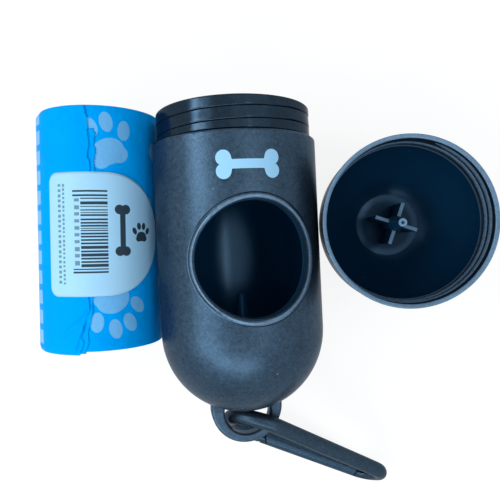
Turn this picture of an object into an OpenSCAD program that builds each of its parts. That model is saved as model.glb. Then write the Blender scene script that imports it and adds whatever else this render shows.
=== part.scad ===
// Screw-top dispenser for a roll of dog waste bags, shown opened on a table: the body lies on its side
// with the window up, a refill roll lies beside it, and the cap stands on its dome at the other side.
// Millimetres. The origin is on the body's axis at its shoulder, +Y points out of the neck, +Z is up.

/* [Dispenser body] */
// Outside diameter of the body and of the cap
body_d = 42; // [40:0.5:46]
// Straight length from the shoulder to the start of the dome
barrel_len = 47.8; // [44:0.2:54]
// Thickness of the wall around the bay that takes the roll
body_wall = 2.9; // [2.6:0.1:3.4]
// How much narrower the bay is around its post, on the radius
bay_step = 0.2; // [0.1:0.05:0.25]
// Distance of that narrowing above the tip of the post's pin
bay_step_clear = 0.8; // [0.5:0.1:2]
// Rounding of the shoulder and of the cap's rim
edge_round = 0.6; // [0.2:0.1:0.9]

/* [Neck] */
// Thickness of the neck's wall under its thread
neck_wall = 1.35; // [0.9:0.05:1.4]
// Length of the neck above the shoulder
neck_len = 7.7; // [6:0.1:9]
// Height of the thread's ridge, for which the cap's socket leaves room
thread_h = 0.4; // [0.3:0.05:0.5]

/* [Window] */
// Diameter of the round dispensing window
window_d = 26.8; // [20:0.2:30]
// Distance of its centre below the shoulder
window_drop = 29.3; // [26:0.1:32]
// Turn of the window towards +X, as the body lies
window_turn = 15.7; // [0:0.1:30]
// Thickness of the rolled lip around the window
window_lip = 1.5; // [1:0.1:2]
// How far the rolled lip stands out of the wall
window_lip_proud = 0.5; // [0.2:0.1:0.7]

/* [Hang loop] */
// Outside diameter of the loop
loop_d = 18.8; // [17.6:0.1:20]
// Thickness of the loop across its plane
loop_t = 3.6; // [2.6:0.1:4]
// Diameter of the round end of its hole
loop_hole_d = 12; // [11:0.1:13]
// Depth of the loop's centre under the dome's crown
loop_sink = 0.6; // [0:0.1:2]
// How far the hole's centre lies outside the loop's centre
loop_hole_shift = 1.2; // [0.6:0.1:1.6]
// Rounding of the loop's edges
loop_round = 0.8; // [0.3:0.1:1.2]

/* [Roll posts] */
// Width across the ribs of a post
post_span = 11.5; // [10:0.1:14]
// Thickness of one rib
rib_t = 0.9; // [0.7:0.1:1.4]
// Diameter of a pin where it leaves the ribs
pin_base_d = 4.2; // [3:0.1:5]
// Diameter of a pin at its tip
pin_tip_d = 2.1; // [1.6:0.1:2.6]
// Length of a pin beyond the ribs
pin_len = 7.2; // [5:0.1:9]
// Diameter of the dimple in a pin's tip
pin_dimple_d = 0.9; // [0.5:0.1:1.2]
// Distance of the body's rib tops below the shoulder
body_post_drop = 46; // [44:0.1:50]

/* [Screw cap] */
// Straight length of the cap from its rim to the start of its dome
cap_skirt = 9.5; // [8.6:0.1:11]
// Radial clearance of the cap's socket over the neck's thread
neck_gap = 0.2; // [0.1:0.05:0.25]
// Clearance between the neck's mouth and the step inside the cap
neck_end_gap = 0.4; // [0.2:0.1:0.8]
// Diameter of the flat that the cap stands on
cap_foot_d = 8; // [6:0.5:12]
// Thickness of the cap's wall around its bowl
cap_wall = 1.5; // [1.2:0.1:2]
// Thickness of the cap under the flat floor of its bowl
cap_floor_t = 3.2; // [2.4:0.1:4]

/* [Bag roll] */
// Diameter of the wound bags
roll_d = 32.2; // [28:0.2:33]
// Length of the roll
roll_len = 60; // [56:0.5:62]
// Rounding of the roll's soft ends
roll_round = 1.2; // [0.4:0.1:2]
// Play of the roll between the two posts
roll_play = 0.5; // [0.2:0.1:1.5]
// Bore of the card core
core_bore_d = 9; // [7:0.1:10]
// Wall of the card core
core_wall = 1; // [0.6:0.1:1.4]
// Thickness of the loose bag end as it stands on the roll
film_t = 0.18; // [0.1:0.01:0.2]
// Angle from the roll's top to the torn edge, towards the body
torn_edge_turn = 5; // [0:1:20]
// Angle around the roll that the loose end covers
loose_turn = 130; // [90:1:140]
// Gap between one layer on the roll and the next
lay_gap = 0.02; // [0.02:0.01:0.04]
// How far the loose end reaches past the roll's lower end
loose_overhang = 0.8; // [0:0.1:2]

/* [Roll label] */
// Thickness of the label
label_t = 0.06; // [0.04:0.01:0.08]
// Height of the label along the roll
label_h = 30.6; // [26:0.1:34]
// Distance of the label's top edge below the roll's upper end
label_drop = 16.2; // [12:0.1:20]
// Angle from the roll's top to the label's free edge, away from the body
label_start = 29; // [10:1:40]
// Angle around the roll that the label covers
label_turn = 106; // [60:1:120]

/* [Carabiner] */
// Overall length of the carabiner
clip_len = 51; // [46:0.1:56]
// Overall width of the carabiner at its round end
clip_w = 21; // [19:0.1:23]
// Angle by which the gate's side leans in towards the far end
clip_taper = 12; // [8:0.5:13]
// Diameter of its bar
bar_d = 4; // [3.6:0.1:4.2]
// Bend radius of its two far corners, on the bar's centre line
corner_r = 4; // [3.5:0.1:4.6]
// Diameter of the gate's steel pin
gate_pin_d = 1.2; // [0.8:0.1:1.4]
// Distance of the pin from the centre of the round end
gate_pin_x = 3.4; // [3:0.1:5]
// Thickness of the gate's knuckle and tongue
knuckle_t = 1.5; // [1.2:0.1:1.8]
// Reach of the tongue into the frame's notch
tongue_len = 2; // [1.4:0.1:2.4]
// Running gap around the gate's joints
gate_gap = 0.1; // [0.06:0.02:0.2]
// Gap between the gate's ends and the frame
gate_end_gap = 0.35; // [0.2:0.05:0.6]
// Radial clearance of the pin in its holes
pin_gap = 0.04; // [0.02:0.01:0.08]

/* [Gate spring] */
// Diameter of the spring's wire
wire_d = 0.3; // [0.2:0.05:0.4]
// Outside diameter of the spring
spring_d = 1.3; // [1:0.1:1.5]
// Number of turns of the spring
spring_turns = 5; // [3:1:6]
// Depth of the spring's pocket in the frame
spring_pocket = 2.6; // [2:0.1:3]

/* [Layout on the table] */
// Clearance between pieces that lie side by side
part_gap = 0.3; // [0.2:0.1:2]
// How far the roll's upper end lies beyond the shoulder
roll_shift = 10; // [-5:0.5:20]
// Turn of the roll away from the body's axis
roll_turn = 2; // [0:0.5:6]
// How far the cap's axis lies below the shoulder
cap_drop = 22.3; // [10:0.1:40]
// Turn of the cap's ribs about its axis
cap_turn = -20.5; // [-90:0.5:90]
// Lean of the carabiner about its own length
clip_lean = -124.8; // [-130:0.1:-118]
// Slope of the carabiner down to the table
clip_slope = 21.7; // [18:0.1:24]
// Heading of the carabiner away from +X, seen from above
clip_heading = -33.1; // [-38:0.1:-28]
// Place on the round end where the carabiner passes through the loop, from its middle
hook_turn = -18.1; // [-24:0.1:-10]
// Sideways place of the carabiner's bar in the loop's hole
hook_side = -1.9; // [-3:0.1:-1]

/* [Hidden] */
$fn = 96;

body_r = body_d / 2;
bay_r = body_r - body_wall;
bay_end_r = bay_r - bay_step;
bay_step_drop = body_post_drop - pin_len - bay_step_clear;
neck_r = bay_r + neck_wall;
// A cut runs this far past the face that it opens
past = 1;
// What is joined is sunk this far into what carries it
sunk = 0.5;

// The cap stands on its flat, so its dome's centre is a little under one radius above the table
cap_dome_z = sqrt(pow(body_r, 2) - pow(cap_foot_d / 2, 2));
cap_h = cap_dome_z + cap_skirt;
cap_bowl_r = body_r - cap_wall;
cap_socket_r = neck_r + thread_h + neck_gap;
cap_socket_h = neck_len + neck_end_gap;
// With the cap screwed on, its rim meets the shoulder and the roll is held between the two posts
cap_post_top = cap_h - (roll_len + roll_play - body_post_drop);
cap_x = 2 * body_r + part_gap;

window_r = window_d / 2;
window_lip_path = window_r + window_lip / 2;
window_lip_h = body_r + window_lip_proud - window_lip / 2;
window_lip_steps = 72;
window_lip_sides = 10;

dome_y = -barrel_len;
loop_r = loop_d / 2;
loop_hole_r = loop_hole_d / 2;
loop_z = barrel_len + body_r - loop_sink;
loop_hole_z = loop_z + loop_hole_shift;

roll_r = roll_d / 2;
core_r = core_bore_d / 2 + core_wall;
film_r = roll_r + lay_gap + film_t;
label_r = film_r + lay_gap + label_t;
// The roll lies on the table beside the body, which it nearly touches at the shoulder
roll_z = roll_r - body_r;
roll_x = -sqrt(pow(body_r + label_r + part_gap, 2) - pow(roll_z, 2));

bar_r = bar_d / 2;
clip_r = (clip_w - bar_d) / 2;
clip_straight = clip_len - bar_d - clip_r - corner_r;
ear_gap = knuckle_t / 2 + gate_gap;
knuckle_r = bar_r - 0.2;
heel_x = gate_pin_x - 0.7 * knuckle_r;
slot_floor_x = gate_pin_x - knuckle_r - gate_gap;
gate_start_x = gate_pin_x + bar_r + gate_end_gap;
// The side with the gate leans in by the taper, so the bar at the far end is shorter than the round end
gate_side_len = (clip_straight - (clip_r - corner_r) * sin(clip_taper)) / cos(clip_taper);
far_bar_len = (clip_r - corner_r) * (1 + cos(clip_taper)) - gate_side_len * sin(clip_taper);
gate_end_x = gate_side_len - gate_end_gap;
notch_wall = 0.8;
spring_y = -0.9;
spring_gap = 0.05;
hook_depth = body_r + bar_r + part_gap;

// ---- Placing ----

// The body is drawn upright, window to the front, and laid down with its window up
module lay_down() {
    rotate([-90, 0, 0]) rotate([0, 0, window_turn]) children();
}

module place_roll() {
    translate([roll_x, 0, roll_z]) rotate([0, 0, -roll_turn]) translate([0, roll_shift, 0])
        rotate([90, 0, 0]) children();
}

module place_cap() {
    translate([cap_x, -cap_drop, -body_r]) rotate([0, 0, cap_turn]) children();
}

// The carabiner is drawn flat with the centre of its round end at the origin, then hooked in the loop
module place_clip() {
    hook = [hook_side * cos(window_turn), dome_y - hook_depth, -hook_side * sin(window_turn)];
    translate(hook) rotate([clip_lean, clip_slope, clip_heading])
        translate([clip_r * cos(hook_turn), -clip_r * sin(hook_turn), 0]) children();
}

// ---- Shared forms ----

// Square section from the axis out to r, with its far corners rounded
module puck_section(r, h, rounding) {
    translate([0, -h / 2]) square([r - rounding, h]);
    translate([0, rounding - h / 2]) square([r, h - 2 * rounding]);
    for (side = [-1, 1])
        translate([r - rounding, side * (h / 2 - rounding)]) circle(rounding);
}

// Ring that rounds an outside edge of radius r when it is cut away; the edge is at z = 0
module edge_cutter(r, rounding) {
    rotate_extrude() difference() {
        translate([r - rounding, -rounding]) square(rounding + past);
        translate([r - rounding, -rounding]) circle(rounding);
    }
}

// Cross-ribbed post with a tapered pin, which carries one end of the roll
module roll_post(height) {
    for (turn = [0, 90])
        rotate([0, 0, turn]) translate([-post_span / 2, -rib_t / 2, 0]) cube([post_span, rib_t, height]);
    cylinder(d = pin_base_d, h = height);
    difference() {
        translate([0, 0, height]) cylinder(d1 = pin_base_d, d2 = pin_tip_d, h = pin_len);
        translate([0, 0, height + pin_len]) sphere(d = pin_dimple_d);
    }
}

// ---- Dispenser body ----

// Point on the saddle curve that the lip follows, in the upright body; t is the angle around the window
function lip_centre(t) =
    let (across = window_lip_path * cos(t))
    [across, -sqrt(pow(window_lip_h, 2) - pow(across, 2)), window_lip_path * sin(t) - window_drop];

// Direction along the curve, from two near points on it
function lip_along(t) =
    let (step = 0.5, d = lip_centre(t + step) - lip_centre(t - step))
    d / norm(d);

// Outward direction of the body's wall at the curve
function lip_out(t) =
    let (c = lip_centre(t))
    [c.x, c.y, 0] / norm([c.x, c.y]);

function lip_point(t, turn) =
    let (out = lip_out(t), side = cross(lip_along(t), out))
    lip_centre(t) + window_lip / 2 * (cos(turn) * out + sin(turn) * side);

module window_lip_ring() {
    n = window_lip_steps;
    m = window_lip_sides;
    points = [for (i = [0:n - 1]) for (j = [0:m - 1]) lip_point(360 * i / n, 360 * j / m)];
    faces = [for (i = [0:n - 1]) for (j = [0:m - 1])
        [i * m + j, (i + 1) % n * m + j, (i + 1) % n * m + (j + 1) % m, i * m + (j + 1) % m]];
    polyhedron(points, faces);
}

module hang_loop() {
    translate([0, 0, -loop_z]) rotate([90, 0, 0]) rotate_extrude() puck_section(loop_r, loop_t, loop_round);
}

// The hole flares at both faces, so that its edges are rounded too
module hang_loop_hole() {
    translate([0, 0, -loop_hole_z]) rotate([90, 0, 0]) rotate_extrude() {
        translate([0, -loop_t / 2 - past]) square([loop_hole_r, loop_t + 2 * past]);
        for (side = [-1, 1])
            difference() {
                translate([loop_hole_r - sunk, side * (loop_t - loop_round) / 2 - loop_round / 2])
                    square([loop_round + sunk, loop_round]);
                translate([loop_hole_r + loop_round, side * (loop_t / 2 - loop_round)]) circle(loop_round);
            }
    }
}

module dispenser_body() {
    color("#1f2a35") lay_down() {
        difference() {
            union() {
                translate([0, 0, -barrel_len]) sphere(body_r);
                translate([0, 0, -barrel_len]) cylinder(r = body_r, h = barrel_len);
                cylinder(r = neck_r, h = neck_len);
                difference() {
                    hang_loop();
                    hang_loop_hole();
                }
                window_lip_ring();
            }
            edge_cutter(body_r, edge_round);
            translate([0, 0, neck_len]) edge_cutter(neck_r, edge_round / 2);
            translate([0, 0, -barrel_len]) sphere(bay_end_r);
            translate([0, 0, -barrel_len]) cylinder(r = bay_end_r, h = barrel_len);
            translate([0, 0, -bay_step_drop]) cylinder(r = bay_r, h = bay_step_drop + neck_len + past);
            translate([0, 0, -window_drop]) rotate([90, 0, 0]) cylinder(r = window_r, h = body_r + past);
        }
        base = -barrel_len - bay_end_r - sunk;
        translate([0, 0, base]) roll_post(-body_post_drop - base);
    }
}

// ---- Screw cap ----

module screw_cap() {
    color("#141c26") place_cap() {
        difference() {
            union() {
                translate([0, 0, cap_dome_z]) sphere(body_r);
                translate([0, 0, cap_dome_z]) cylinder(r = body_r, h = cap_skirt);
            }
            translate([0, 0, cap_h]) cylinder(r = body_r, h = body_r);
            translate([0, 0, -past]) cylinder(d = cap_foot_d + past, h = past);
            translate([0, 0, cap_h]) edge_cutter(body_r, edge_round / 2);
            difference() {
                translate([0, 0, cap_dome_z]) sphere(cap_bowl_r);
                cylinder(r = body_r, h = cap_floor_t);
            }
            translate([0, 0, cap_dome_z]) cylinder(r = cap_bowl_r, h = cap_skirt + past);
            translate([0, 0, cap_h - cap_socket_h]) cylinder(r = cap_socket_r, h = cap_socket_h + past);
        }
        base = cap_floor_t - sunk;
        translate([0, 0, base]) roll_post(cap_post_top - base);
    }
}

// ---- Carabiner, flat in XY: the spine is the bar at -Y, the gate the bar at +Y ----

// The gate's side is drawn along X from where the round end meets it
module gate_side() {
    rotate([0, 0, -clip_taper]) translate([0, clip_r, 0]) children();
}

module bar(length) {
    rotate([0, 90, 0]) cylinder(r = bar_r, h = length);
}

module bend(radius, from, turn) {
    rotate([0, 0, from]) rotate_extrude(angle = turn) translate([radius, 0]) circle(bar_r);
}

module carabiner_frame() {
    color("#1b2229") place_clip() difference() {
        union() {
            translate([0, -clip_r, 0]) bar(clip_straight);
            bend(clip_r, 90 - clip_taper, 180 + clip_taper);
            translate([clip_straight, corner_r - clip_r, 0]) bend(corner_r, -90, 90);
            translate([clip_straight + corner_r, corner_r - clip_r, 0]) rotate([0, 0, 90])
                bar(far_bar_len);
            gate_side() {
                bar(gate_pin_x);
                intersection() {
                    bar(gate_pin_x + bar_r);
                    translate([gate_pin_x, 0, -bar_r]) cylinder(r = bar_r, h = bar_d);
                }
                translate([gate_side_len, -corner_r, 0]) bend(corner_r, clip_taper, 90 - clip_taper);
            }
        }
        gate_side() {
            // Slot for the gate's knuckle
            translate([slot_floor_x, -bar_d, -ear_gap]) cube([clip_w, 2 * bar_d, 2 * ear_gap]);
            translate([gate_pin_x, 0, -bar_d]) cylinder(d = gate_pin_d + 2 * pin_gap, h = 2 * bar_d);
            // Pocket for the spring
            translate([slot_floor_x - spring_pocket, spring_y, 0]) rotate([0, 90, 0])
                cylinder(d = spring_d + 2 * gate_gap, h = spring_pocket + past);
            // Notch for the gate's tongue, open to the inside
            translate([gate_side_len - sunk, -bar_d, -ear_gap])
                cube([sunk + tongue_len + gate_end_gap, bar_d + bar_r - notch_wall, 2 * ear_gap]);
        }
    }
}

module carabiner_gate() {
    color("#2a3a48") place_clip() gate_side() {
        difference() {
            translate([gate_pin_x, 0, 0]) bar(gate_end_x - gate_pin_x);
            translate([gate_pin_x, 0, -bar_d]) cylinder(r = gate_start_x - gate_pin_x, h = 2 * bar_d);
        }
        // Knuckle with a flat heel for the spring
        difference() {
            union() {
                translate([gate_pin_x, 0, -knuckle_t / 2]) cylinder(r = knuckle_r, h = knuckle_t);
                translate([gate_pin_x, -knuckle_r * 0.8, -knuckle_t / 2])
                    cube([bar_d, 1.6 * knuckle_r, knuckle_t]);
            }
            translate([heel_x - bar_d, -bar_r, -bar_r]) cube([bar_d, bar_d, bar_d]);
            translate([gate_pin_x, 0, -bar_r]) cylinder(d = gate_pin_d + 2 * pin_gap, h = bar_d);
        }
        // Tongue
        translate([gate_end_x - sunk, -bar_r / 2, -knuckle_t / 2])
            cube([sunk + tongue_len, bar_r / 2 + bar_r - notch_wall - gate_gap, knuckle_t]);
    }
}

module gate_pin() {
    color("#8d9399") place_clip() gate_side() translate([gate_pin_x, 0, gate_gap - bar_r])
        cylinder(d = gate_pin_d, h = bar_d - 2 * gate_gap);
}

// Coil swept along its own helix, from the pocket's floor to the gate's heel
function coil_point(turn, side, length) =
    let (r = (spring_d - wire_d) / 2, a = 360 * turn, reach = r + wire_d / 2 * cos(side))
    [reach * cos(a), reach * sin(a),
     wire_d / 2 * (1 + sin(side)) + (length - wire_d) * turn / spring_turns];

module gate_spring() {
    start_x = slot_floor_x - spring_pocket + spring_gap;
    length = heel_x - spring_gap - start_x;
    per_turn = 12;
    m = 6;
    n = spring_turns * per_turn;
    points = [for (i = [0:n]) for (j = [0:m - 1]) coil_point(i / per_turn, 360 * j / m, length)];
    walls = [for (i = [0:n - 1]) for (j = [0:m - 1])
        [i * m + j, i * m + (j + 1) % m, (i + 1) * m + (j + 1) % m, (i + 1) * m + j]];
    ends = [[for (j = [m - 1:-1:0]) j], [for (j = [0:m - 1]) n * m + j]];
    color("#b4b8bc") place_clip() gate_side() translate([start_x, spring_y, 0]) rotate([0, 90, 0])
        polyhedron(points, concat(walls, ends));
}

// ---- Bag roll, drawn with its upper end at z = 0 and its top side towards +Y ----

module roll_core() {
    color("#b59a72") place_roll() difference() {
        cylinder(r = core_r, h = roll_len);
        translate([0, 0, -past]) cylinder(d = core_bore_d, h = roll_len + 2 * past);
    }
}

module wound_bags() {
    color("#0f9bea") place_roll() translate([0, 0, roll_len / 2]) rotate_extrude() difference() {
        puck_section(roll_r, roll_len, roll_round);
        translate([0, -roll_len]) square([core_r + pin_gap, 2 * roll_len]);
    }
}

// Part of a thin tube, from an angle past the roll's top and away from the body
module roll_wrap(inner_r, thickness, start, turn, length) {
    rotate([0, 0, 90 - start])
        rotate_extrude(angle = turn) translate([inner_r, 0]) square([thickness, length]);
}

module loose_bag_end() {
    color("#25aef5") place_roll()
        roll_wrap(roll_r + lay_gap, film_t, torn_edge_turn, loose_turn, roll_len + loose_overhang);
}

module roll_label() {
    color("#bcdcf2") place_roll() translate([0, 0, label_drop])
        roll_wrap(film_r + lay_gap, label_t, label_turn - label_start, label_turn, label_h);
}

dispenser_body();
screw_cap();
carabiner_frame();
carabiner_gate();
gate_pin();
gate_spring();
roll_core();
wound_bags();
loose_bag_end();
roll_label();
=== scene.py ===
import math
import random
import bpy
from mathutils import Matrix, Vector, noise


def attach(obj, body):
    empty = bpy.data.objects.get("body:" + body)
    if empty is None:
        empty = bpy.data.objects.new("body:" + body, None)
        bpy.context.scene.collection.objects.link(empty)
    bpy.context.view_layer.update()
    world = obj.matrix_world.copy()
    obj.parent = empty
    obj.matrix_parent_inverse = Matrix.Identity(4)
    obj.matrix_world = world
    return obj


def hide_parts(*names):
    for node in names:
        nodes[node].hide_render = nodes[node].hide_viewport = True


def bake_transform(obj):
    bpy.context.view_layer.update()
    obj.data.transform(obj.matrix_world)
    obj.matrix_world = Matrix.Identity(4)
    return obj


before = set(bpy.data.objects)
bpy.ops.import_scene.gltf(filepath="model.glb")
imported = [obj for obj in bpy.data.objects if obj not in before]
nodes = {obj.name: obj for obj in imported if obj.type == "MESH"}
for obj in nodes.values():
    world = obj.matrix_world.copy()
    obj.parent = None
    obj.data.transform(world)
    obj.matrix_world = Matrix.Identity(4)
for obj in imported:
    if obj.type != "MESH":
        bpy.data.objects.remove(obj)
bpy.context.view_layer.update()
MM = 0.001
scene = bpy.context.scene
rad = math.radians

# ---------------------------------------------------------------- camera, fitted to the photo's outlines
CAM_PLACE = Vector((10.659, -25.546, 131.806))  # mm
CAM_TURNS = (("Z", -0.048544), ("Y", 0.057577), ("X", -0.017374))  # radians
cam = bpy.data.cameras.new("camera")
cam.sensor_width = 36
cam.lens = 36.24
cam.clip_start = 0.005
cam_ob = bpy.data.objects.new("camera", cam)
scene.collection.objects.link(cam_ob)
turn = Matrix.Identity(4)
for axis, angle in CAM_TURNS:
    turn = turn @ Matrix.Rotation(angle, 4, axis)
cam_ob.matrix_world = Matrix.Translation(CAM_PLACE * MM) @ turn
scene.camera = cam_ob

# ---------------------------------------------------------------- sizes in mm, the same as the solids'
BODY_R, BARREL = 21.0, 47.8
WINDOW_TURN, WINDOW_Y, WINDOW_R = 15.7, -29.3, 13.4  # turned by so many degrees about the body's axis
NECK_R, PITCH = 19.45, 2.93
CAP_X, CAP_Y, CAP_SOCKET_R = 42.3, -22.3, 20.05
ROLL_LEN, LABEL_R = 60.0, 16.38
FLOOR_Z = -21
ROLL_PLACE = (Matrix.Translation((-37.3596, 0, -4.9)) @ Matrix.Rotation(rad(-2), 4, "Z")
              @ Matrix.Translation((0, 10, 0)))


# ---------------------------------------------------------------- mesh helpers
def roll_point(r, phi, z):
    """Point on the roll: phi in degrees from its top, away from the body; z in mm below its upper end."""
    p = ROLL_PLACE @ Vector((-r * math.sin(rad(phi)), -z, r * math.cos(rad(phi))))
    return p * MM


def body_point(r, t, y):
    """Point round the body's axis: t in degrees from the front."""
    return Vector((r * math.sin(rad(t)), y, r * math.cos(rad(t)))) * MM


def cap_point(r, t, z):
    """Point round the cap's axis: t in degrees from +X."""
    return Vector((CAP_X + r * math.cos(rad(t)), CAP_Y + r * math.sin(rad(t)), z)) * MM


def make(name, verts, faces, body, slot, uvs=None, mat=None):
    """A smooth piece from points in metres; it rides a body unless body is None."""
    me = bpy.data.meshes.new(name)
    me.from_pydata([tuple(v) for v in verts], [], faces)
    me.validate()
    if uvs:
        layer = me.uv_layers.new(name="mm")
        for loop in me.loops:
            layer.data[loop.index].uv = uvs[loop.vertex_index]
    me.polygons.foreach_set("use_smooth", [True] * len(me.polygons))
    ob = bpy.data.objects.new(name, me)
    scene.collection.objects.link(ob)
    if mat:
        me.materials.append(mat)
    if body:
        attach(ob, body)
    return ob


def grid(nu, nv, close_u=False, base=0):
    """Faces of nu rows of nv points, numbered from base."""
    faces = []
    for i in range(nu if close_u else nu - 1):
        for j in range(nv - 1):
            a, b = i * nv + j, (i + 1) % nu * nv + j
            faces.append((base + a, base + b, base + b + 1, base + a + 1))
    return faces


def thicken(ob, name, thickness):
    """Give a sheet its thickness in mm, inwards."""
    mod = ob.modifiers.new(name, "SOLIDIFY")
    mod.thickness = thickness * MM
    mod.offset = -1


def smoothstep(a, b, x):
    t = min(1.0, max(0.0, (x - a) / (b - a)))
    return t * t * (3 - 2 * t)


def along(points, z):
    """Value at z of a smoothed line through (z, value) points."""
    for (za, a), (zb, b) in zip(points, points[1:]):
        if z <= zb:
            return a + (b - a) * smoothstep(za, zb, z) if z > za else a
    return points[-1][1]


def rough_noise(x, y, seed):
    return noise.noise(Vector((x, y, seed)))


# ---------------------------------------------------------------- node helpers
SOCKETS = {"base": "Base Color", "rough": "Roughness", "spec": "Specular IOR Level", "metal": "Metallic",
           "tint": "Specular Tint", "normal": "Normal", "ior": "IOR", "emit": "Emission Color",
           "emit_strength": "Emission Strength"}


class Nodes:
    """Short ways to add nodes to a tree. A value is a number, a tuple or another node's socket."""

    def __init__(self, tree):
        self.t = tree

    def put(self, socket, value):
        if isinstance(value, bpy.types.NodeSocket):
            self.t.links.new(value, socket)
        elif isinstance(value, (tuple, list)) and len(socket.default_value) == 4 and len(value) == 3:
            socket.default_value = (*value, 1)
        else:
            socket.default_value = value

    def fill(self, sockets, values):
        for socket, value in zip(sockets, values):
            self.put(socket, value)

    def node(self, kind, **props):
        n = self.t.nodes.new("ShaderNode" + kind)
        for k, v in props.items():
            setattr(n, k, v)
        return n

    def math(self, op, a, b=0.0):
        n = self.node("Math", operation=op)
        self.fill(n.inputs, (a, b))
        return n.outputs[0]

    def chain(self, op, first, *more):
        for value in more:
            first = self.math(op, first, value)
        return first

    def add(self, *values):
        return self.chain("ADD", *values)

    def sub(self, a, b):
        return self.math("SUBTRACT", a, b)

    def mul(self, *values):
        return self.chain("MULTIPLY", *values)

    def high(self, *values):
        return self.chain("MAXIMUM", *values)

    def off(self, x, middle):
        """Distance of x from middle."""
        return self.math("ABSOLUTE", self.sub(x, middle))

    def join(self, x=0.0, y=0.0, z=0.0):
        n = self.node("CombineXYZ")
        self.fill(n.inputs, (x, y, z))
        return n.outputs[0]

    def xyz(self, v):
        n = self.node("SeparateXYZ")
        self.put(n.inputs[0], v)
        return n.outputs[0], n.outputs[1], n.outputs[2]

    def length(self, x=0.0, y=0.0, z=0.0):
        n = self.node("VectorMath", operation="LENGTH")
        self.put(n.inputs[0], self.join(x, y, z))
        return n.outputs["Value"]

    def mix(self, fac, a, b, blend="MIX"):
        n = self.node("Mix", data_type="RGBA", blend_type=blend)
        self.put(n.inputs["Factor"], fac)
        self.fill(n.inputs[6:8], (a, b))
        return n.outputs[2]

    def mixf(self, fac, a, b):
        n = self.node("Mix", data_type="FLOAT")
        self.put(n.inputs["Factor"], fac)
        self.fill(n.inputs[2:4], (a, b))
        return n.outputs[0]

    def step(self, x, lo, hi, a=0.0, b=1.0):
        """a where x is lo, b where x is hi, smooth between; lo may be above hi."""
        n = self.node("MapRange", interpolation_type="SMOOTHSTEP")
        self.fill(n.inputs, (x, lo, hi, a, b))
        return n.outputs[0]

    def rise(self, x, lo, hi):
        """As step, for a length x in metres and limits in mm."""
        return self.step(x, lo * MM, hi * MM)

    def seen(self):
        """1 for camera, glossy and transmission rays, 0 for the others."""
        path = self.node("LightPath").outputs
        return self.high(path["Is Camera Ray"], path["Is Glossy Ray"], path["Is Transmission Ray"])


class Tree(Nodes):
    """A material's tree."""

    def __init__(self, name):
        self.mat = bpy.data.materials.new(name)
        self.mat.use_nodes = True
        super().__init__(self.mat.node_tree)
        self.bsdf = self.t.nodes["Principled BSDF"]

    def set(self, **values):
        for k, v in values.items():
            self.put(self.bsdf.inputs[SOCKETS[k]], v)

    def place(self):
        return self.node("TexCoord").outputs["Object"]

    def uv(self):
        """The unwrapped place, and its two parts."""
        n = self.node("UVMap", uv_map="mm")
        u, v, _ = self.xyz(n.outputs[0])
        return n.outputs[0], u, v

    def noise(self, vec, scale, detail=2.0, rough=0.5):
        n = self.node("TexNoise")
        for k, v in (("Vector", vec), ("Scale", scale), ("Detail", detail), ("Roughness", rough)):
            self.put(n.inputs[k], v)
        return n.outputs["Fac"]

    def specks(self, vec, scale, size, share):
        """Small round specks: one cell in every 1/share holds one."""
        n = self.node("TexVoronoi")
        for k, v in (("Vector", vec), ("Scale", scale), ("Randomness", 1.0)):
            self.put(n.inputs[k], v)
        chance = self.xyz(n.outputs["Color"])[0]
        dot = self.step(n.outputs["Distance"], size, size * 0.55)
        return self.mul(dot, self.math("GREATER_THAN", chance, 1 - share))

    def bump(self, height, strength, distance, normal=None):
        n = self.node("Bump")
        for k, v in (("Height", height), ("Strength", strength), ("Distance", distance)):
            self.put(n.inputs[k], v)
        if normal is not None:
            self.put(n.inputs["Normal"], normal)
        return n.outputs[0]


def assign(node, mat):
    ob = nodes[node]
    ob.data.materials.clear()
    ob.data.materials.append(mat)


# ---------------------------------------------------------------- materials of the solids
OUTER = (0.004, 0.007, 0.011)  # the plastic in its own colour
PAINTED_HOLLOW_LIGHT = (0.0015, 0.034, 0.085)  # and a lighter, bluer copy of it where it faces a hollow: painted light reflected inside
IOR = 1.1
TINT = (13.0, 24.5, 39.0)  # with that low IOR the tint sets the colour and level of the reflection
DUST, HAZE = (0.25, 0.34, 0.42), (0.14, 0.2, 0.27)
FINE, CLOUD, BROAD, GRAIN = 2300, 900, 90, 5200  # noise scales, per metre


def plastic(name, base, rough, spec=0.5, grain=1.0, mottle=1.0, seed=0.0):
    """Matte moulded plastic with fine grain, cloudy mottle and pale specks. The tree keeps its spot, col,
    rough, sheen and normal, for materials that change them in places."""
    m = Tree(name)
    n = m.node("VectorMath", operation="ADD")
    m.fill(n.inputs, (m.place(), (seed, seed * 0.7, -seed)))
    m.spot = p = n.outputs[0]
    fine, cloud, broad = m.noise(p, FINE), m.noise(p, CLOUD, 3, 0.6), m.noise(p, BROAD)
    v = m.add(m.mul(m.sub(fine, 0.5), mottle), m.mul(m.sub(cloud, 0.5), mottle * 0.9),
              m.mul(m.sub(broad, 0.5), mottle * 0.5), 1.0)
    v = m.high(v, 0.3)
    col = m.mix(1.0, base, m.join(v, v, v), "MULTIPLY")
    col = m.mix(m.mul(m.specks(p, 330, 0.075, 0.10), 0.75), col, DUST)
    m.col = m.mix(m.mul(m.specks(p, 900, 0.13, 0.16), 0.30), col, HAZE)
    m.rough = m.add(m.mul(m.sub(cloud, 0.5), 0.18), rough)
    m.sheen = m.mul(v, spec)
    n = m.bump(m.noise(p, GRAIN, 1), 0.35 * grain, 0.00004)
    m.normal = m.bump(fine, 0.30 * grain, 0.00006, n)
    m.set(base=m.col, rough=m.rough, spec=m.sheen, ior=IOR, tint=TINT, normal=m.normal)
    return m


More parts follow.
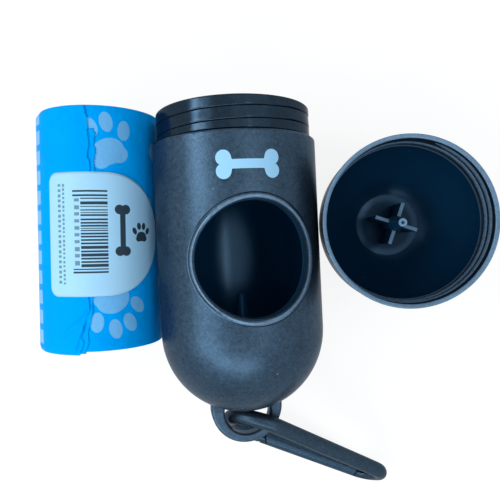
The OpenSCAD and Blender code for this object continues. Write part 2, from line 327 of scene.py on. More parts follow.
def body_material():
    m = plastic("charcoal_bioplastic", OUTER, 0.35)
    x, y, z = m.xyz(m.place())
    # distance from the body's axis, or in the dome from the dome's middle
    depth = m.length(x, m.math("MINIMUM", m.add(y, BARREL * MM), 0.0), z)
    # the window's wall, found by the distance across and along the window from its middle
    turn = rad(WINDOW_TURN)
    across = m.sub(m.mul(x, math.cos(turn)), m.mul(z, math.sin(turn)))
    wall = m.rise(m.length(across, m.sub(y, WINDOW_Y * MM)), WINDOW_R + 0.10, WINDOW_R + 0.04)
    wall = m.mul(wall, m.rise(z, 4, 6))
    inner = m.high(m.rise(depth, 18.7, 18.3), wall)
    # a painted highlight: a pale line where the wall meets the bay
    edge = m.mul(m.rise(depth, 18.0, 18.1), m.rise(depth, 18.75, 18.5), wall)
    neck = m.rise(y, 0.0, 0.1)
    loop = m.rise(y, -68.2, -69.4)
    post = m.rise(m.length(x, 0.0, z), 9.2, 8.8)
    col = m.mix(neck, m.col, m.mix(0.5, m.col, (0.004, 0.008, 0.014)))
    # inside the bay and on the window's wall the plastic takes a lighter, bluer colour: painted light
    # reflected in the hollow
    col = m.mix(inner, col, PAINTED_HOLLOW_LIGHT)
    col = m.mix(m.mul(edge, 0.8), col, (0.02, 0.042, 0.065))
    # a lighter copy of the plastic on the loop: painted light
    col = m.mix(m.mul(loop, 0.8), col, (0.022, 0.036, 0.050))
    m.set(base=col, rough=m.mixf(inner, m.mixf(neck, m.rough, 0.27), 0.20),
          spec=m.mixf(inner, m.mixf(neck, m.sheen, 0.24), m.mixf(post, 0.24, 0.05)))
    return m.mat


def cap_material():
    m = plastic("charcoal_cap", OUTER, 0.36, seed=0.4)
    x, y, z = m.xyz(m.place())
    dx, dy = m.sub(x, CAP_X * MM), m.sub(y, CAP_Y * MM)
    radius = m.length(dx, dy)
    # the bowl is a dome whose middle lies 0.385 mm below z = 0
    bowl = m.length(dx, dy, m.math("MINIMUM", m.add(z, 0.385 * MM), 0.0))
    inside = m.rise(bowl, 19.85, 19.65)
    # the tops of the ribs and of the pin catch the light
    ribs = m.mul(m.rise(z, -5.45, -5.40), m.rise(z, -5.2, -5.3))
    top = m.mul(m.add(ribs, m.rise(z, 1.5, 1.7)), m.rise(radius, 8, 7.5))
    deep = m.sub(inside, top)
    # a painted highlight: a pale line on the ledge where the socket wall steps into the bowl
    ledge_highlight = m.mul(m.rise(z, 1.2, 1.1), m.rise(z, 0.85, 0.95), m.rise(radius, 19.42, 19.50))
    # the floor flows into the bowl over a soft hill round its edge
    low = m.rise(z, -12, -13)
    hill = m.high(m.sub(1.0, m.math("DIVIDE", m.off(radius, 8.75 * MM), 3.4 * MM)), 0.0)
    fillet = m.mul(hill, hill, low, 0.32 * MM)
    floor_disc = m.mul(m.rise(radius, 8.2, 6.2), low)
    # inside the cap a lighter, bluer copy of the plastic: painted light reflected in the hollow, with pale
    # dust specks
    painted_hollow_light_and_dust = m.mix(m.mul(m.specks(m.spot, 260, 0.06, 0.10), 0.5), (0.0022, 0.023, 0.056), (0.14, 0.18, 0.21))
    painted_hollow_light_and_dust = m.mix(m.mul(ledge_highlight, 0.8), painted_hollow_light_and_dust, (0.06, 0.10, 0.14))
    tops = m.mix(m.rise(z, 0, 1), (0.040, 0.068, 0.105), (0.11, 0.18, 0.26))
    m.set(base=m.mix(top, m.mix(deep, m.col, painted_hollow_light_and_dust), tops), rough=m.mixf(deep, m.rough, 0.24),
          spec=m.mixf(deep, m.sheen, m.mixf(floor_disc, 0.24, 0.08)),
          normal=m.bump(fillet, 1.0, 1.0, m.normal))
    return m.mat


assign("dispenser_body", body_material())
assign("screw_cap", cap_material())
for node, name, base, rough, spec, seed in (
        ("carabiner_frame", "carabiner_plastic", (0.010, 0.015, 0.020), 0.34, 0.34, 0.9),
        ("carabiner_gate", "gate_plastic", (0.010, 0.021, 0.034), 0.36, 0.42, 1.3)):
    assign(node, plastic(name, base, rough, spec, 0.8, 0.8, seed).mat)

m = Tree("spring_steel")
s = m.noise(m.place(), 3000, 2)
m.set(base=m.mix(s, (0.42, 0.44, 0.47), (0.6, 0.62, 0.64)), metal=1.0, rough=m.add(m.mul(s, 0.2), 0.2),
      normal=m.bump(s, 0.2, 0.00002))
steel_mat = m.mat
assign("gate_pin", steel_mat)

# ---------------------------------------------------------------- the gate's spring
# Its last turn lies past the pocket in the frame. All places are the solid's, in mm.
SPRING_START = Vector((-0.980, -78.673, -10.521))
SPRING_AXIS = Vector((0.879024, -0.431384, -0.203039)).normalized()
SPRING_LEN, COIL_R, WIRE_R = 3.14, 0.5, 0.15
TURNS, PER_TURN, SIDES = 5, 24, 8


def spring_mesh():
    across = SPRING_AXIS.orthogonal().normalized()
    upward = SPRING_AXIS.cross(across)
    verts, count = [], TURNS * PER_TURN
    for i in range(count + 1):
        angle = rad(360 * i / PER_TURN)
        spoke = across * math.cos(angle) + upward * math.sin(angle)
        for j in range(SIDES):
            round_wire = rad(360 * j / SIDES)
            reach = COIL_R + WIRE_R * math.cos(round_wire)
            on = WIRE_R * (1 + math.sin(round_wire)) + (SPRING_LEN - 2 * WIRE_R) * i / count
            verts.append((SPRING_START + spoke * reach + SPRING_AXIS * on) * MM)
    faces = []
    for i in range(count):
        for j in range(SIDES):
            a, b = i * SIDES + j, i * SIDES + (j + 1) % SIDES
            faces.append((a, b, b + SIDES, a + SIDES))
    return verts, faces + [tuple(range(SIDES))[::-1], tuple(count * SIDES + j for j in range(SIDES))]


spring = make("gate_spring_coil", *spring_mesh(), None, "steel", mat=steel_mat)
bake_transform(spring)
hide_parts("gate_spring")

m = Tree("core_card")
fibre = m.noise(m.place(), 1500, 4, 0.65)
m.set(base=m.mix(fibre, (0.33, 0.22, 0.12), (0.56, 0.42, 0.26)), rough=0.85, spec=0.2,
      normal=m.bump(fibre, 0.4, 0.0001))
assign("roll_core", m.mat)


# ---------------------------------------------------------------- neck, window lip, cap thread, rim
def thread_material(name, base, rough, spec, dark, foot, other=2.0):
    """v runs along the ridge's section. Below foot and above other it takes the dark colour, painted shade
    for a crevice.
    """
    m = plastic(name, base, rough, spec, grain=0.4, mottle=0.5, seed=2.1)
    v = m.uv()[2]
    line = m.high(m.step(v, foot, foot - 0.12), m.step(v, other, other + 0.10))
    m.set(base=m.mix(line, m.col, dark), spec=m.mixf(line, m.sheen, 0.04),
          rough=m.add(m.mul(m.sub(m.rough, rough), 0.5), rough))
    return m.mat


# The neck's bands: each swells towards a rounded lower edge over a crevice that climbs round the neck as a
# screw thread. Places on the neck are mm above the shoulder, and heights are mm over the solid's surface.
NECK_END = 7.85
CREVICE_Y = 2.17  # where the lower crevice passes the front
CREVICE_HALF, CREVICE_ROUND = 0.12, 0.45  # its flat bottom, and the quarter circle up to the band
BAND, SWELL, PLAIN, STOP = 0.24, 0.08, 0.30, 0.34  # a band, its swelling, the plain neck, the last turn
SKIN = 0.02  # least height
END_ROUND, END_DROP, FOOT = 0.35, 0.22, 0.5  # the rounded mouth's length and drop, and the shoulder's foot
RUN = (-150, -110, 500, 540)  # the crevice fades in and out between these angles, in degrees


def neck_band(t, y):
    """Radius and shading place of the neck at angle t in degrees and height y in mm."""
    first = CREVICE_Y + PITCH * (t + 360) / 360 - 3 * PITCH
    k = (y - first) / PITCH
    turn = math.floor(k)
    s = (k - turn) * PITCH  # height over the crevice below
    angle = t + 360 * (turn - 2)
    depth = smoothstep(RUN[0], RUN[1], angle) * (1 - smoothstep(RUN[2], RUN[3], angle))
    q = min(1.0, max(0.0, (s - CREVICE_HALF) / CREVICE_ROUND))
    deep = 1 - (1 - math.sqrt(1 - (1 - q) ** 2)) * depth
    swell = SWELL * (1 - smoothstep(0.25, PITCH, s))
    r = NECK_R + (PLAIN * (1 - depth) + (BAND + swell) * depth) * deep + SKIN
    if angle > 300:
        r = max(r, NECK_R + STOP * deep)
    end = max(0.0, y - (NECK_END - END_ROUND)) / END_ROUND
    foot = 1 - smoothstep(0.0, FOOT, y)
    return r - END_DROP * end ** 2 - (r - NECK_R - SKIN) * foot, deep


NECK_ROWS, NECK_START = 150, 0.04
MOUTH = ((19.2, NECK_END), (18.4, NECK_END), (18.16, NECK_END - 0.12))  # the end's flat and its inner edge
ys = [NECK_START + (NECK_END - NECK_START) * j / NECK_ROWS for j in range(NECK_ROWS + 1)]
verts, uvs = [], []
for i in range(360):
    for y in ys:
        r, deep = neck_band(i, y)
        verts.append(body_point(r, i, y))
        uvs.append((i / 360, 0.1 + 0.9 * deep))
    for r, y in MOUTH:
        verts.append(body_point(r, i, y))
        uvs.append((i / 360, 1.0))
# its darkest colour is the painted shade in the crevice under each band
neck_mat = thread_material("neck_plastic", (0.002, 0.003, 0.004), 0.15, 0.26, (0.0004, 0.001, 0.0025), 0.62)
faces = grid(360, len(ys) + len(MOUTH), True)
make("neck_thread", verts, faces, "dispenser", "body_plastic", uvs, neck_mat)


# The window's rolled lip: a fine bead over the lip of the solid, in a pale colour that is painted light, with
# painted shade in the crease round its foot
def lip_material():
    """u runs round the window from its right side, v across the bead from the bore to the foot."""
    # the bead's pale colour, far lighter than the body's plastic, is painted light
    m = plastic("lip_plastic", (0.094, 0.150, 0.215), 0.30, 0.68, grain=0.7, mottle=0.8, seed=3.3)
    u, v = m.uv()[1:]
    # painted shade along the crease at the bead's foot, over part of the way round
    crease_shade = m.mul(m.step(v, 0.86, 0.90), m.step(v, 1.0, 0.97))
    side = m.off(m.math("FRACT", m.add(u, 0.46)), 0.5)
    crease_shade = m.mul(crease_shade, m.step(side, 0.42, 0.34))
    # painted shade: the bead is darkened down the wall into the bore, on the slope that looks into the window
    # at the left and below, and on the outer slope at the top
    left = m.mul(m.step(m.off(u, 0.58), 0.24, 0.13), m.step(v, 0.56, 0.48), 0.8)
    above = m.mul(m.step(m.off(u, 0.20), 0.19, 0.10), m.step(v, 0.62, 0.72), 0.6)
    dark = m.high(crease_shade, m.mul(m.step(v, 0.46, 0.30), 0.85), left, above)
    foot = m.step(v, 0.93, 0.96)
    m.set(base=m.mix(dark, m.mix(foot, m.col, OUTER), (0.0006, 0.0016, 0.0035)),
          spec=m.mixf(dark, m.mixf(foot, m.sheen, 0.45), 0.05))
    return m.mat


# The bead's section in mm: distance from the window's middle line, distance from the body's axis, v
LIP = [(13.385, 19.4, 0.0), (13.385, 20.3, 0.06), (13.40, 20.75, 0.12), (13.47, 21.05, 0.2),
       (13.60, 21.27, 0.3), (13.80, 21.41, 0.4), (14.0, 21.48, 0.48), (14.2, 21.496, 0.56),
       (14.4, 21.47, 0.64), (14.58, 21.38, 0.7), (14.73, 21.27, 0.76), (14.84, 21.14, 0.82),
       (14.9, 21.05, 0.88), (14.98, 21.02, 0.92), (15.08, 21.015, 0.96), (15.16, 20.98, 1.0)]


def window_point(rho, t, height):
    a, b = rho * math.cos(rad(t)), rho * math.sin(rad(t))
    h = math.sqrt(height * height - a * a)
    c, s = math.cos(rad(WINDOW_TURN)), math.sin(rad(WINDOW_TURN))
    return Vector((a * c + h * s, WINDOW_Y + b, h * c - a * s)) * MM


verts = [window_point(rho, i, height) for i in range(361) for rho, height, v in LIP]
uvs = [(i / 360, v) for i in range(361) for rho, height, v in LIP]
make("window_lip", verts, grid(361, len(LIP)), "dispenser", "body_plastic", uvs, lip_material())

# The cap's thread: a ridge in the socket that rises from its wall and runs out at both ends. Angles are in
# degrees, lengths in mm. Its section: offset along the axis, height over the wall, v.
RIDGE = [(-1.0, 0.0, 0.0), (-0.93, 0.10, 0.1), (-0.8, 0.20, 0.22), (-0.55, 0.31, 0.35), (-0.2, 0.37, 0.5),
         (0.2, 0.37, 0.6), (0.55, 0.31, 0.7), (0.8, 0.20, 0.8), (0.93, 0.10, 0.9), (1.0, 0.0, 1.0)]
RIDGE_FROM, RIDGE_TO, RIDGE_STEP, TAPER = -520, 72, 2.5, 14
RIDGE_Z = 6.2  # at angle 0
SUNK = 0.06  # how deep the ridge's edges reach into the wall


def cap_ridge():
    steps, count = int((RIDGE_TO - RIDGE_FROM) / RIDGE_STEP), len(RIDGE)
    verts, uvs = [], []
    for i in range(steps + 1):
        t = RIDGE_FROM + (RIDGE_TO - RIDGE_FROM) * i / steps
        k = smoothstep(0, TAPER, t - RIDGE_FROM) * smoothstep(0, TAPER, RIDGE_TO - t)
        for off, h, v in RIDGE:
            r = CAP_SOCKET_R + SUNK - ((h + SUNK) * k if h > 0 else 0.0)
            verts.append(cap_point(r, t, RIDGE_Z + PITCH * t / 360 + off * (0.5 + 0.5 * k)))
            uvs.append((t / 360, v))
    faces = grid(steps + 1, count)
    faces += [tuple(range(count)), tuple(steps * count + j for j in range(count - 1, -1, -1))]
    return verts, faces, uvs


# the thread's pale colour, far lighter than the cap's plastic, is painted light, and its crevices get painted
# shade
cap_thread_mat = thread_material("cap_thread_plastic", (0.105, 0.170, 0.245), 0.28, 0.85,
                                 (0.0015, 0.004, 0.009), 0.22, 0.80)
verts, faces, uvs = cap_ridge()
make("cap_thread", verts, faces, "cap", "cap_plastic", uvs, cap_thread_mat)

# The cap's rim: a rounded edge that slopes down to the thread, as radius and z in mm
RIM = [(20.998, 8.95), (20.998, 9.14), (20.97, 9.24), (20.92, 9.31), (20.85, 9.355), (20.77, 9.365),
       (20.68, 9.35), (20.56, 9.31), (20.44, 9.27), (20.32, 9.22), (20.2, 9.17), (20.08, 9.12),
       (19.99, 9.06), (19.93, 8.96), (19.92, 8.85), (20.05, 8.7)]
verts = [cap_point(r, i, z) for i in range(360) for r, z in RIM]
# the rim's pale colour, far lighter than the cap's plastic, is painted light
rim_mat = plastic("rim_plastic", (0.080, 0.128, 0.182), 0.30, 0.80, grain=0.6, mottle=0.6, seed=4.1).mat
make("cap_rim_edge", verts, grid(360, len(RIM), True), "cap", "cap_plastic", mat=rim_mat)


# ---------------------------------------------------------------- bag film
def turned(m, u, v, cu, cv, size_u, size_v, turn):
    """u and v from the middle (cu, cv), along and across a line turned by so many degrees, in sizes."""
    c, s = math.cos(rad(turn)), math.sin(rad(turn))
    du, dv = m.sub(u, cu), m.sub(v, cv)
    a = m.math("DIVIDE", m.add(m.mul(du, c), m.mul(dv, s)), size_u)
    b = m.math("DIVIDE", m.sub(m.mul(dv, c), m.mul(du, s)), size_v)
    return a, b


def ellipse(m, u, v, cu, cv, ru, rv, turn=0.0):
    """1 on the edge of an ellipse with these radii, less inside."""
    a, b = turned(m, u, v, cu, cv, ru, rv, turn)
    return m.add(m.mul(a, a), m.mul(b, b))


# A paw of size 1: middle and radii of its pads and toes, and their turn in degrees
PAW = [(0, -0.18, 0.27, 0.21, 0), (-0.15, -0.27, 0.15, 0.14, 0), (0.15, -0.27, 0.15, 0.14, 0),
       (-0.36, 0.06, 0.105, 0.16, 24), (-0.13, 0.27, 0.105, 0.16, 8), (0.13, 0.27, 0.105, 0.16, -8),
       (0.36, 0.06, 0.105, 0.16, -24)]


def paw(m, u, v, cu, cv, size, turn):
    """1 inside a generic paw print of that size in mm."""
    a, b = turned(m, u, v, cu, cv, size, size, turn)
    return m.step(m.chain("MINIMUM", *(ellipse(m, a, b, *pad) for pad in PAW)), 1.06, 0.94)


PAWS = [(-6.5, 8.5, 15.5, 200), (-14.5, 27.0, 16, 150), (-9.0, 50.5, 15.5, 20), (-27, 12, 16, 170),
        (-31, 42, 16, 10), (-44, 26, 16, 190), (26, 20, 16, 160), (38, 44, 16, 30), (22, 52, 15, 0),
        (44, 8, 15, 200)]  # middle and size in mm, turn in degrees
DASH_U, DASH_PITCH = 14.6, 5.1  # the row of dashes along the outer bag, in mm


def film(name, prints=(), dashes=False):
    """Blue film with pale paws or dashes. u runs round the roll and v along it, in mm."""
    m = Tree(name)
    uv, u, v = m.uv()
    cloud = m.noise(m.place(), 90, 3, 0.6)
    col = m.mix(cloud, (0.0, 0.345, 0.93), (0.0, 0.385, 0.98))
    if prints:
        grain = m.noise(uv, 5.5, 2, 0.7)
        mask = m.high(*(paw(m, u, v, *p) for p in prints))
        ink = m.mix(m.step(grain, 0.35, 0.65), (0.13, 0.45, 0.84), (0.20, 0.53, 0.90))
        col = m.mix(m.mul(mask, m.step(grain, 0.1, 0.4, 0.72, 1.0)), col, ink)
    if dashes:
        row = m.step(m.off(u, DASH_U), 1.75, 1.6)
        part = m.math("FRACT", m.math("DIVIDE", m.add(v, 1.1), DASH_PITCH))
        part = m.step(m.off(part, 0.5), 0.36, 0.33)
        col = m.mix(m.mul(row, part, 0.75), col, (0.35, 0.62, 0.93))
    n = m.bump(m.noise(uv, 0.16), 0.5, 0.0009)
    n = m.bump(m.noise(uv, 0.9, 3, 0.55), 0.25, 0.0003, n)
    n = m.bump(m.noise(uv, 9), 0.12, 0.00004, n)
    m.set(base=col, rough=m.add(m.mul(cloud, 0.15), 0.36), spec=0.2, ior=1.1, tint=(0.0, 1.2, 2.0), normal=n)
    return m.mat


# ---------------------------------------------------------------- wound bags
UV_R = 16.2  # the radius at which u is measured round the roll, in mm
SIDE_R, ROUND_R, BORE_R = 16.05, 1.2, 5.54
# Half of the section: an end with the edges of the layers and its rounded corner, as z and radius in mm
END = [(0.12 if r < 5.58 else 0.02, r) for r in (BORE_R, 5.6, 6.4, 7.6, 8.8, 10, 11.2, 12.4, 13.4, 14.2)]
END += [(ROUND_R - ROUND_R * math.cos(rad(a)), SIDE_R - ROUND_R + ROUND_R * math.sin(rad(a)))
        for a in (0, 22, 45, 68, 90)]
# The whole section: an end, the side, the other end and the bore round the core
PROFILE = END + [(z * 0.8 + 1.6, SIDE_R) for z in range(71)] + [(ROLL_LEN - z, r) for z, r in reversed(END)]
PROFILE.append((ROLL_LEN / 2, BORE_R))
NPHI = 240
OVER_TOP, OVER_END = 0.22, 0.4  # how far the crisp parts of the ends stand past the soft ones


def roll_mesh():
    verts, uvs = [], []
    for i in range(NPHI):
        phi = 360 * i / NPHI
        wrap = phi if phi <= 180 else phi - 360
        # the ends are crisp where they face the body and soft under the outermost bag
        soft = 0.28 + 0.55 * smoothstep(12, 50, wrap) * (1 - smoothstep(110, 150, wrap))
        for z, r in PROFILE:
            upper = z < ROLL_LEN / 2
            if r > SIDE_R - ROUND_R - 0.01 and min(z, ROLL_LEN - z) < ROUND_R + 0.1:
                q = min(z, ROLL_LEN - z) * soft
                z = q - OVER_TOP * (1 - soft) if upper else ROLL_LEN + 0.2 + OVER_END * (1 - soft) - q
                r = SIDE_R - (SIDE_R - r) * soft
            upper = z < ROLL_LEN / 2
            wob = rough_noise(phi / 26, z / 7, 3.1) * 0.05 + rough_noise(phi / 7, z / 2.6, 9.4) * 0.02
            wob = min(0.045, wob * smoothstep(12.5, 16, r))
            layers = abs(rough_noise(r * 2.3, phi / 60, 5.5) * 0.10) if r < 15 else 0.0
            verts.append(roll_point(r + wob, phi, z + layers * (1 if upper else -1)))
            uvs.append((rad(wrap) * UV_R, z))
    count = len(PROFILE)
    faces = grid(NPHI, count, True)
    for i in range(NPHI):
        a, b = i * count, (i + 1) % NPHI * count
        faces.append((a + count - 1, b + count - 1, b, a))
    return verts, faces, uvs


roll_mat = film("bag_film_printed", PAWS)
verts, faces, uvs = roll_mesh()
film_roll = make("bag_roll_film", verts, faces, "bags", "bag_film", uvs, roll_mat)
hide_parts("wound_bags")

# ---------------------------------------------------------------- torn ends of the outermost bag
# The torn edges of the outermost bag and of the strip under it: distance along the roll in mm, angle from the
# roll's top in degrees
EDGE_A = [(0.0, -6.6), (1.0, -6.9), (3.4, -8.9), (6.3, -9.1), (9.7, -9.8), (12.4, -8.8), (14.8, -10.8),
          (20, -10.5), (30, -9.4), (40, -9.0), (47.2, -7.4), (49.8, -8.5), (52.5, -4.7), (55.0, -2.7),
          (56.8, -1.1), (58.4, -2.4), (60.9, 0.2)]
EDGE_B = [(5.6, -14.9), (7.0, -15.5), (9.5, -14.5), (10.8, -16.0), (13.4, -14.6), (15.8, -14.4),
          (30, -13.5), (47.0, -11.9), (48.9, -10.9), (51.0, -11.2), (52.9, -9.2), (55.5, -6.8),
          (58.2, -7.1), (60.6, -4.6)]
# Soft folds: from and to, both (degrees, mm), then width and height in mm
FOLDS_A = [((15, 56.3), (-6, 51.8), 1.1, -0.26), ((15.5, 55.0), (-4, 50.4), 1.0, 0.20),
           ((5.5, 59.6), (-2.7, 54.0), 0.8, 0.22), ((3.0, 60.4), (-1.5, 56.0), 0.6, -0.18),
           ((16.5, 3.2), (13.0, 8.0), 0.9, 0.11), ((16.5, 3.2), (10.4, 1.6), 0.9, 0.11),
           ((10.4, 1.6), (-5, 1.0), 0.8, 0.06), ((12, 10), (9, 15), 2.2, 0.09),
           ((24, 50), (14, 58), 1.6, 0.08), ((30, 6), (22, 13), 2.0, 0.07)]
FOLDS_B = [((-10, 52), (-8, 60), 0.5, 0.05)]
ROW = 0.3  # mm from row to row of a sheet's points
FOLD_MM = 0.283  # mm round the roll for one degree, for folds
UNDER_LABEL_R, LEAST_R = 16.30, 16.115  # a sheet's greatest radius under the label, and least anywhere


def fold(phi, z, start, end, width, height):
    """Height of a soft fold along the line from start to end."""
    ax, bx = start[0] * FOLD_MM, end[0] * FOLD_MM
    ay, by = start[1], end[1]
    px = phi * FOLD_MM
    dx, dy = bx - ax, by - ay
    length = math.hypot(dx, dy)
    t = min(1, max(0, ((px - ax) * dx + (z - ay) * dy) / (length * length)))
    return height * (1 - smoothstep(0, width, math.hypot(px - ax - dx * t, z - ay - dy * t)))


def torn_sheet(name, edge, z0, z1, phi_end, base_r, lift, folds, mat, seed, thick):
    """A sheet on the roll from its torn edge to the angle phi_end."""
    nz, nphi = int((z1 - z0) / ROW), int(phi_end + 12)
    verts, uvs = [], []
    for j in range(nz + 1):
        z = z0 + (z1 - z0) * j / nz
        e = along(edge, z) + rough_noise(z / 0.55, 0.0, seed) * 0.9 + rough_noise(z / 0.21, 1.0, seed) * 0.5
        covered = smoothstep(15.2, 16.2, z) * (1 - smoothstep(46.8, 47.8, z))
        over = smoothstep(ROLL_LEN + 0.3, ROLL_LEN + 1.2, z)
        for i in range(nphi + 1):
            f = i / nphi
            phi = e + (phi_end - e) * (0.35 * f + 0.65 * f * f if phi_end > 40 else f)
            r = base_r + lift * (1 - smoothstep(20, phi_end, phi))
            h = rough_noise(phi / 9, z / 5, seed + 2) * 0.035 * (phi < 100)
            # the torn edge stands up a little
            h += max(0.0, 1 - (phi - e) / 3.2) * (0.08 + 0.10 * rough_noise(z / 1.6, 4.0, seed))
            h += sum(fold(phi, z, *q) for q in folds)
            under_label = covered * (1 - smoothstep(29, 33, phi))
            r = min(r + h, UNDER_LABEL_R) * under_label + (r + h) * (1 - under_label)
            # both ends of the sheet turn in over the roll's ends
            start = (1 - smoothstep(0.0, 1.3, z)) ** 2 * smoothstep(20, 60, phi)
            verts.append(roll_point(max(r, LEAST_R) - 0.25 * over - 0.6 * start, phi, z + 0.1 * start))
            uvs.append((rad(phi) * UV_R, z))
    ob = make(name, verts, grid(nz + 1, nphi + 1), "bags", "bag_film", uvs, mat)
    thicken(ob, "film", thick)
    return ob


sheet_mat = film("bag_film_outer", dashes=True)
strip_mat = film("bag_film_strip")
outer = torn_sheet("outer_bag_end", EDGE_A, 0.05, 61.25, 125, 16.15, 0.13, FOLDS_A, sheet_mat, 1.7, 0.05)
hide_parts("loose_bag_end")
torn_sheet("torn_strip", EDGE_B, 5.6, 60.9, 2, 16.12, 0.02, FOLDS_B, strip_mat, 6.3, 0.02)

# ---------------------------------------------------------------- label
# Bars that encode nothing: widths and gaps to choose from, all in mm
BAR_WIDTHS = (0.22, 0.3, 0.3, 0.45, 0.45, 0.75)
BAR_GAPS = (0.28, 0.38, 0.38, 0.6)
BARS_FROM, BARS_TO, BARS_END = 4.5, 25.0, 25.3
GUARD, SHORT, BAR_TOP = 6.9, 8.9, 15.4  # where a bar starts: the outer bars are longer; and where all end
# Rows of short strokes: place, from, to, pitch and half height
STROKES = ((7.95, 6.5, 23.4, 1.7, 0.62), (3.25, 2.9, 27.4, 1.25, 0.42), (4.45, 2.9, 27.4, 1.05, 0.30))
BONE_U, BONE_V, BONE_R = (18.3, 19.9), (9.2, 19.6), 1.2  # the bone's four lobes


def label_material():
    m = Tree("label_paper")
    u, v = m.uv()[1:]
    p = m.place()

    def bar(u0, u1, v0, v1, edge=0.05):
        return m.mul(m.mul(m.step(u, u0 - edge, u0 + edge), m.step(u, u1 + edge, u1 - edge)),
                     m.mul(m.step(v, v0 - edge, v0 + edge), m.step(v, v1 + edge, v1 - edge)))

    rnd = random.Random(11)
    at, masks = BARS_FROM, []
    while at < BARS_TO:
        width = rnd.choice(BAR_WIDTHS)
        masks.append(bar(GUARD if at < 6.0 or at > 23.6 else SHORT, BAR_TOP, at, min(at + width, BARS_END)))
        at += width + rnd.choice(BAR_GAPS)
    for row, at, end, pitch, half in STROKES:
        while at < end:
            stroke = bar(row - half, row + half, at, at + pitch * rnd.uniform(0.45, 0.68), 0.07)
            masks.append(m.mul(stroke, 0.66))
            at += pitch
    lobes = [ellipse(m, u, v, cu, cv, BONE_R, BONE_R) for cu in BONE_U for cv in BONE_V]
    lobes = m.step(m.chain("MINIMUM", *lobes), 1.1, 0.9)
    bone = m.high(lobes, bar(BONE_U[0] + 0.1, BONE_U[1] - 0.1, BONE_V[0] + 0.2, BONE_V[1] - 0.2, 0.06))
    ink = m.high(*masks, bone, paw(m, u, v, 24.4, 14.9, 5.8, 180))
    col = m.mix(m.noise(p, 120), (0.38, 0.69, 0.95), (0.42, 0.73, 0.97))
    col = m.mix(m.mul(ink, 0.94), col, (0.006, 0.012, 0.022))
    m.set(base=col, rough=m.mixf(ink, 0.42, 0.5), spec=0.2, ior=1.3,
          normal=m.bump(m.noise(p, 900, 3), 0.1, 0.00005))
    return m.mat


LABEL_START, LABEL_TURN = 29.0, 106.0  # degrees: its straight edge from the roll's top, and what it covers
LABEL_H, LABEL_Z = 30.6, 16.2  # mm: its height along the roll, and where it starts below the upper end
WIDTH = rad(LABEL_TURN) * LABEL_R
HALF, CORNER = LABEL_H / 2, 2.4
FLAT = WIDTH - HALF  # where the half circle starts
LABEL_ROWS = 40


def label_half(u):
    """Half height of the label at u mm from its straight edge, which has small corners. The other end is a
    half circle."""
    if u < CORNER:
        return HALF - CORNER + math.sqrt(max(0, CORNER ** 2 - (CORNER - u) ** 2))
    if u > FLAT:
        return math.sqrt(max(0.0, HALF ** 2 - (u - FLAT) ** 2))
    return HALF


us = [CORNER * (1 - math.cos(rad(a))) for a in range(0, 91, 6)]
us += [CORNER + (FLAT - CORNER) * i / 20 for i in range(1, 21)]
us += [FLAT + HALF * math.sin(rad(a)) for a in range(3, 91, 3)]
verts, uvs = [], []
for u in us:
    for j in range(LABEL_ROWS + 1):
        v = HALF + label_half(u) * (2 * j / LABEL_ROWS - 1)
        phi = LABEL_START - math.degrees(u / LABEL_R)
        # the label bridges the step at the torn edge and hugs the roll beyond it
        r = LABEL_R - 0.03 - 0.05 * smoothstep(-10, -26, phi) + 0.01 * rough_noise(u / 5, v / 5, 8.8)
        verts.append(roll_point(r, phi, LABEL_Z + v))
        uvs.append((u, v))
faces = grid(len(us), LABEL_ROWS + 1)
label = make("roll_label_sticker", verts, faces, "bags", "label", uvs, label_material())
thicken(label, "paper", 0.05)
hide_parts("roll_label")

# ---------------------------------------------------------------- generic printed bone on the body
LOBE_X, LOBE_Y, LOBE_R, SHAFT = 5.55, 1.5, 1.75, 1.05  # mm from the bone's middle
PRINT_T, PRINT_Y, PRINT_R = 13.0, -8.0, 21.025
PRINT_ROWS = 5


def bone_span(x):
    """Lower and upper edge of the bone's upper half at x."""
    x = abs(x)
    d = LOBE_R ** 2 - (x - LOBE_X) ** 2
    notch = LOBE_X + math.sqrt(LOBE_R ** 2 - LOBE_Y ** 2)
    low = LOBE_Y - math.sqrt(max(0.0, d)) if x > notch else 0.0
    return low, max(SHAFT if x < LOBE_X else 0.0, LOBE_Y + math.sqrt(d) if d > 0 else 0.0)


m = Tree("pad_print")
g = m.noise(m.place(), 2600, 3, 0.7)
m.set(base=m.mix(g, (0.33, 0.64, 0.92), (0.38, 0.70, 0.96)), rough=0.55, spec=0.1,
      normal=m.bump(g, 0.25, 0.00003))
xs = [-(LOBE_X + LOBE_R) * math.cos(rad(a)) for a in range(0, 181, 2)]
verts, faces = [], []
for side in (1, -1):
    half = grid(len(xs), PRINT_ROWS + 1, False, len(verts))
    faces += half if side > 0 else [tuple(reversed(f)) for f in half]
    for x in xs:
        low, top = bone_span(x)
        for j in range(PRINT_ROWS + 1):
            y = low + (top - low) * j / PRINT_ROWS
            verts.append(body_point(PRINT_R, PRINT_T + math.degrees(x / BODY_R), PRINT_Y + side * y))
make("printed_bone", verts, faces, "dispenser", "label", mat=m.mat)

# ---------------------------------------------------------------- world: white where it is seen
world = bpy.data.worlds.new("studio")
scene.world = world
world.use_nodes = True
w = Nodes(world.node_tree)
soft = w.t.nodes["Background"]
w.fill(soft.inputs, ((0.80, 0.90, 1.0), 0.38))
white = w.node("Background")
w.fill(white.inputs, ((1, 1, 1), 1.0))
both = w.node("MixShader")
w.fill(both.inputs, (w.seen(), soft.outputs[0], white.outputs[0]))
w.put(w.t.nodes["World Output"].inputs[0], both.outputs[0])

# ---------------------------------------------------------------- lamps
LAMP_TARGET = Vector((0, -0.03, 0))
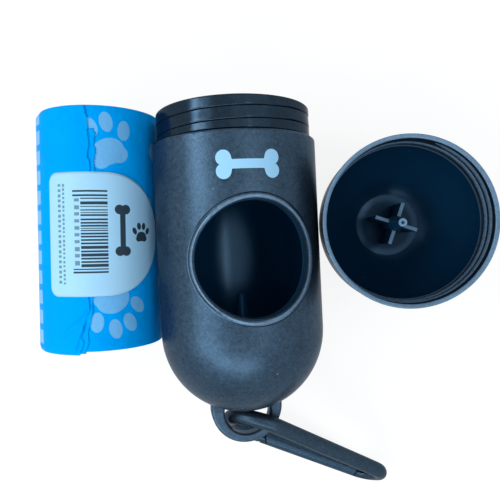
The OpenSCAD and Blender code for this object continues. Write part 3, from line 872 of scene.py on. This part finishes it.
# Name, tilt from straight up and azimuth from +X in degrees, distance and two sizes in metres, power in
# watts, colour
LAMPS = [("key_left", 50, 176, 0.5, 0.56, 0.09, 0.74, (0.90, 0.96, 0.99)),
         ("key_high", 35, 175, 0.5, 0.56, 0.15, 0.40, (0.86, 0.95, 1.0)),
         ("front_left", 43, -138, 0.5, 0.22, 0.20, 0.34, (0.86, 0.95, 1.0)),
         ("kick_left", 45, 158, 0.5, 0.08, 0.16, 0.20, (1.0, 0.96, 0.94)),
         ("front_soft", 42, -96, 0.5, 0.42, 0.12, 0.74, (0.90, 0.96, 0.99)),
         ("strip_right", 28, 0, 0.5, 0.26, 0.055, 0.17, (1.0, 0.95, 0.88)),
         ("fill_right", 30, 0, 0.55, 0.60, 0.55, 0.38, (0.94, 0.97, 1.0))]
for name, tilt, azimuth, distance, size, size_y, power, colour in LAMPS:
    light = bpy.data.lights.new(name, "AREA")
    light.energy = power
    light.color = colour
    light.shape = "RECTANGLE"
    light.size = size
    light.size_y = size_y
    ob = bpy.data.objects.new(name, light)
    scene.collection.objects.link(ob)
    tilt, azimuth = rad(tilt), rad(azimuth)
    away = Vector((math.sin(tilt) * math.cos(azimuth), math.sin(tilt) * math.sin(azimuth), math.cos(tilt)))
    away *= distance
    ob.location = LAMP_TARGET + away
    ob.rotation_euler = (-away).to_track_quat("-Z", "Y").to_euler()

# ---------------------------------------------------------------- floor: white with a soft shadow
m = Tree("pale_floor")
see = m.seen()
pale = m.mix(m.noise(m.place(), 40), (0.17, 0.17, 0.17), (0.19, 0.19, 0.19))
m.set(base=m.mix(see, (0.30, 0.31, 0.32), pale), rough=0.9, spec=0.0, emit=(1, 1, 1),
      emit_strength=m.mul(see, 0.86))
FLOOR_HALF = 3.0  # metres
me = bpy.data.meshes.new("floor")
corners = [(a * FLOOR_HALF, b * FLOOR_HALF, FLOOR_Z * MM) for a, b in ((-1, -1), (1, -1), (1, 1), (-1, 1))]
me.from_pydata(corners, [], [(0, 1, 2, 3)])
me.materials.append(m.mat)
floor = bpy.data.objects.new("floor", me)
scene.collection.objects.link(floor)

scene.view_settings.view_transform = "Standard"
